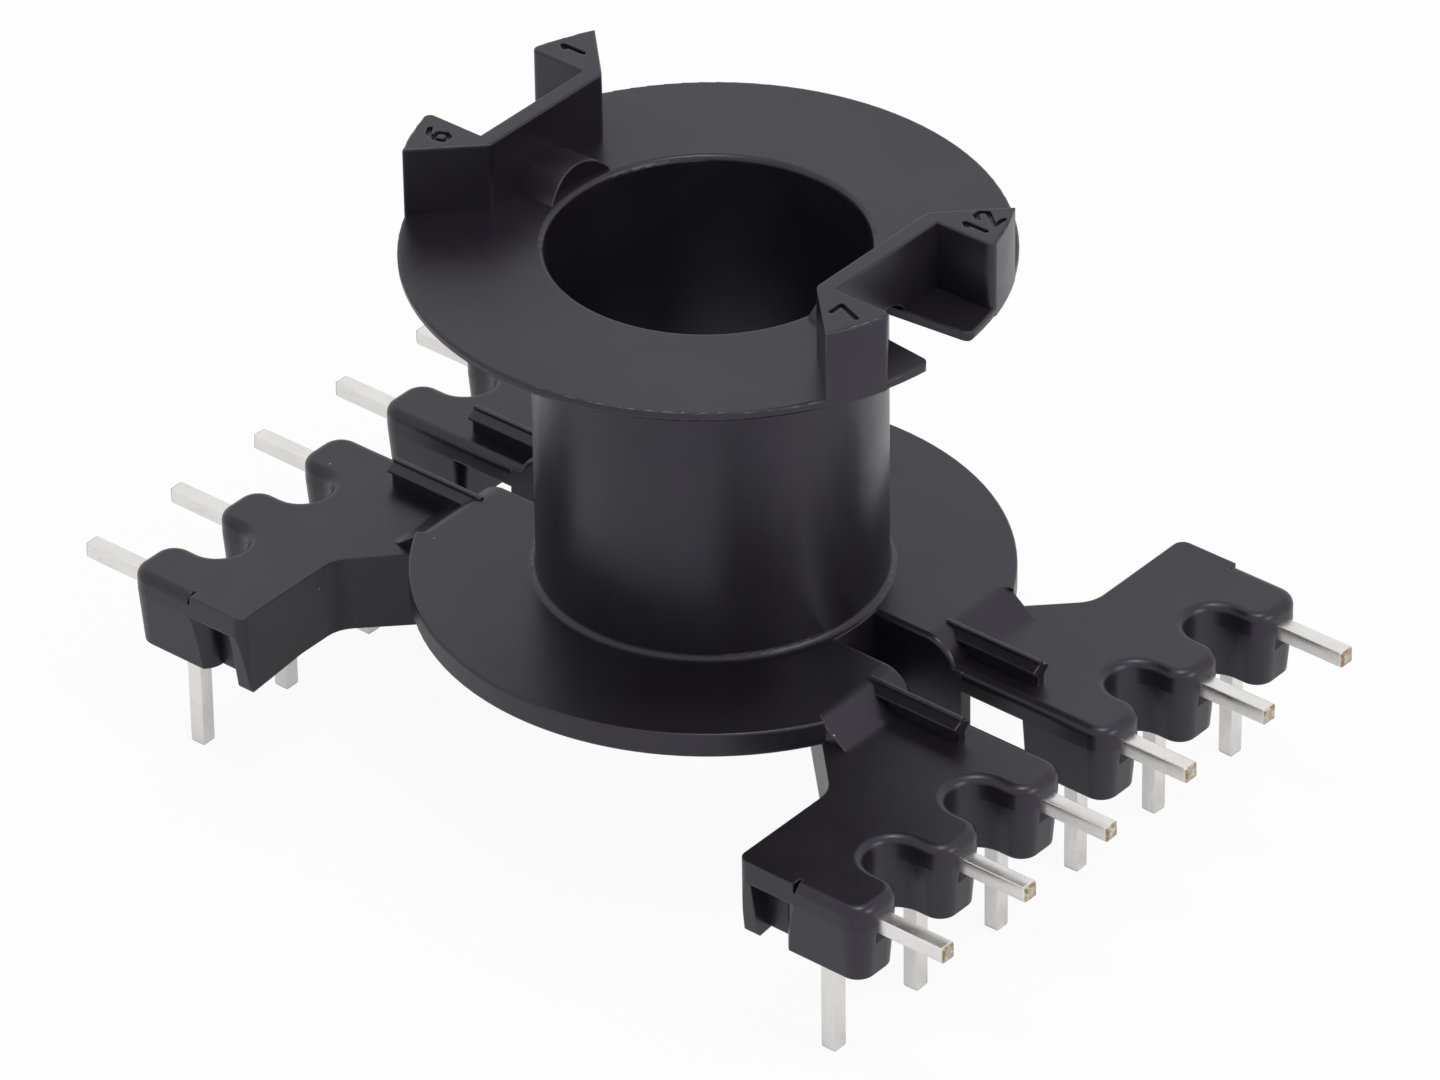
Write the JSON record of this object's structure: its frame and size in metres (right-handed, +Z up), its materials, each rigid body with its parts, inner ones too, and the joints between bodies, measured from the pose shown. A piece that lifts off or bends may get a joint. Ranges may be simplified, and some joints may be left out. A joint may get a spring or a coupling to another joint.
{
  "type": "transformer coil former",
  "caption": "Moulded coil former for a round-post ferrite core, with a flanged winding tube, wire slots and rows of L-shaped solder pins.",
  "frame": {"origin": "on the bore axis, at the level of the pin tips", "axes": "+X across the two pin rows, from pins 1 to 6 towards pins 7 to 12; +Y along the rows, from pin 6 towards pin 1; +Z up the winding tube"},
  "size_m": [0.0444, 0.028, 0.0271],
  "materials": {
    "moulded_body": "black thermoset moulding, satin",
    "pin_metal": "bright tin plating"
  },
  "bodies": {
    "root": {"coil_former": "moulded_body", "terminal_pin_01": "pin_metal", "terminal_pin_02": "pin_metal", "terminal_pin_03": "pin_metal", "terminal_pin_04": "pin_metal", "terminal_pin_05": "pin_metal", "terminal_pin_06": "pin_metal", "terminal_pin_07": "pin_metal", "terminal_pin_08": "pin_metal", "terminal_pin_09": "pin_metal", "terminal_pin_10": "pin_metal", "terminal_pin_11": "pin_metal", "terminal_pin_12": "pin_metal"}
  },
  "joints": []
}
